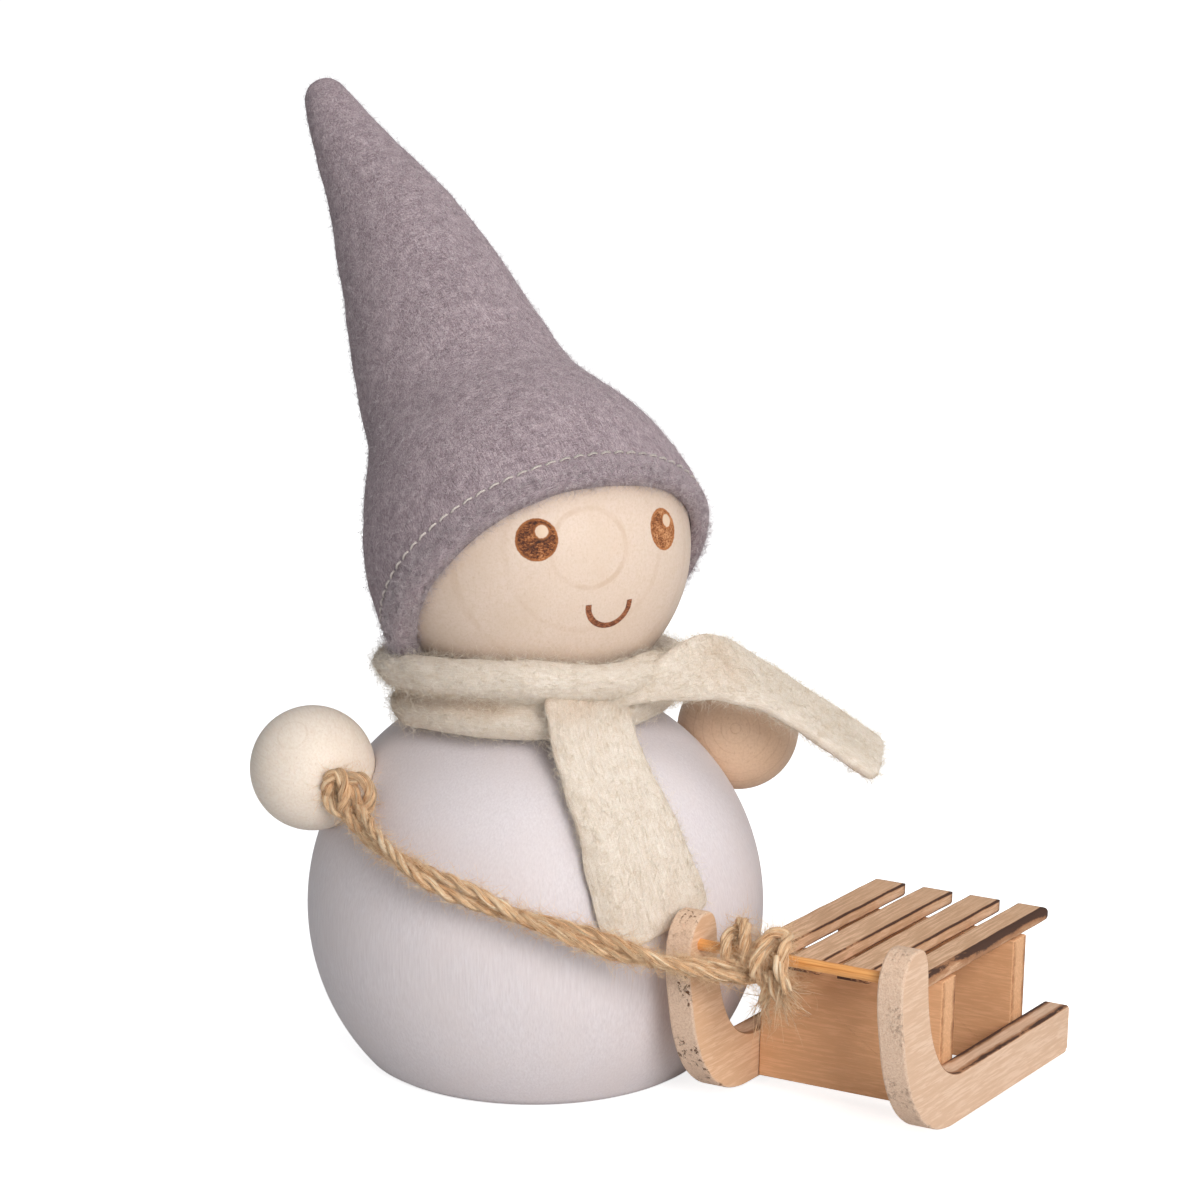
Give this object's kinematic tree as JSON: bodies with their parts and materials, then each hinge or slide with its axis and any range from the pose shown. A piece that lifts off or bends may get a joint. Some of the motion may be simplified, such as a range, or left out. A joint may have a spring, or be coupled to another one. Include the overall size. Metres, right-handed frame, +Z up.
{
  "type": "wooden ball figure with sled",
  "caption": "Wooden ball figure in a long felt hat and scarf, standing on a flat base and holding a jute cord tied to a slatted sled.",
  "frame": {"origin": "centre of the body ball's flat base, on the surface the figure stands on", "axes": "+Z up; the figure faces -Y; +X points to the figure's left, the side the sled stands on"},
  "size_m": [0.173, 0.2025, 0.2025],
  "materials": {
    "whitewashed_wood": "thin white wash, matt",
    "birch": "sanded, bare",
    "oiled_birch": "sanded, oiled",
    "dowel": "bare",
    "grey_felt": "fuzzy wool felt",
    "white_thread": "matt",
    "cream_felt": "fuzzy wool felt",
    "jute": "twisted, hairy",
    "plywood": "laser cut, burnt edges",
    "bamboo": "semi-gloss"
  },
  "bodies": {
    "figure": {"body_ball": "whitewashed_wood", "head_ball": "birch", "neck_dowel": "dowel", "right_hand_ball": "birch", "left_hand_ball": "oiled_birch", "right_arm_dowel": "dowel", "left_arm_dowel": "dowel", "felt_hat": "grey_felt", "hat_hem_thread": "white_thread", "scarf": "cream_felt", "hand_knot": "jute"},
    "rope": {"tow_cord": "jute"},
    "tow_knot": {"loop_knot": "jute", "frayed_knot": "jute"},
    "sled": {"left_runner": "plywood", "right_runner": "plywood", "deck_slat_1": "plywood", "deck_slat_2": "plywood", "deck_slat_3": "plywood", "deck_slat_4": "plywood", "front_cross_plate": "plywood", "rear_cross_plate": "plywood", "tow_bar": "bamboo"}
  },
  "joints": [
    {"name": "rope_swing", "type": "hinge", "parent": "figure", "child": "rope", "pos_m": [-0.0449, -0.0112, 0.0666], "axis": [0, 0, 1], "range_deg": [-55, 0]},
    {"name": "sled_yaw", "type": "hinge", "parent": "rope", "child": "tow_knot", "pos_m": [0.02712, -0.06872, 0.04111], "axis": [0, 0, 1], "range_deg": [-75, 0]},
    {"name": "sled_tip", "type": "hinge", "parent": "tow_knot", "child": "sled", "pos_m": [0.02712, -0.06872, 0.04111], "axis": [0.673, -0.7396, 0], "range_deg": [0, 13]}
  ]
}
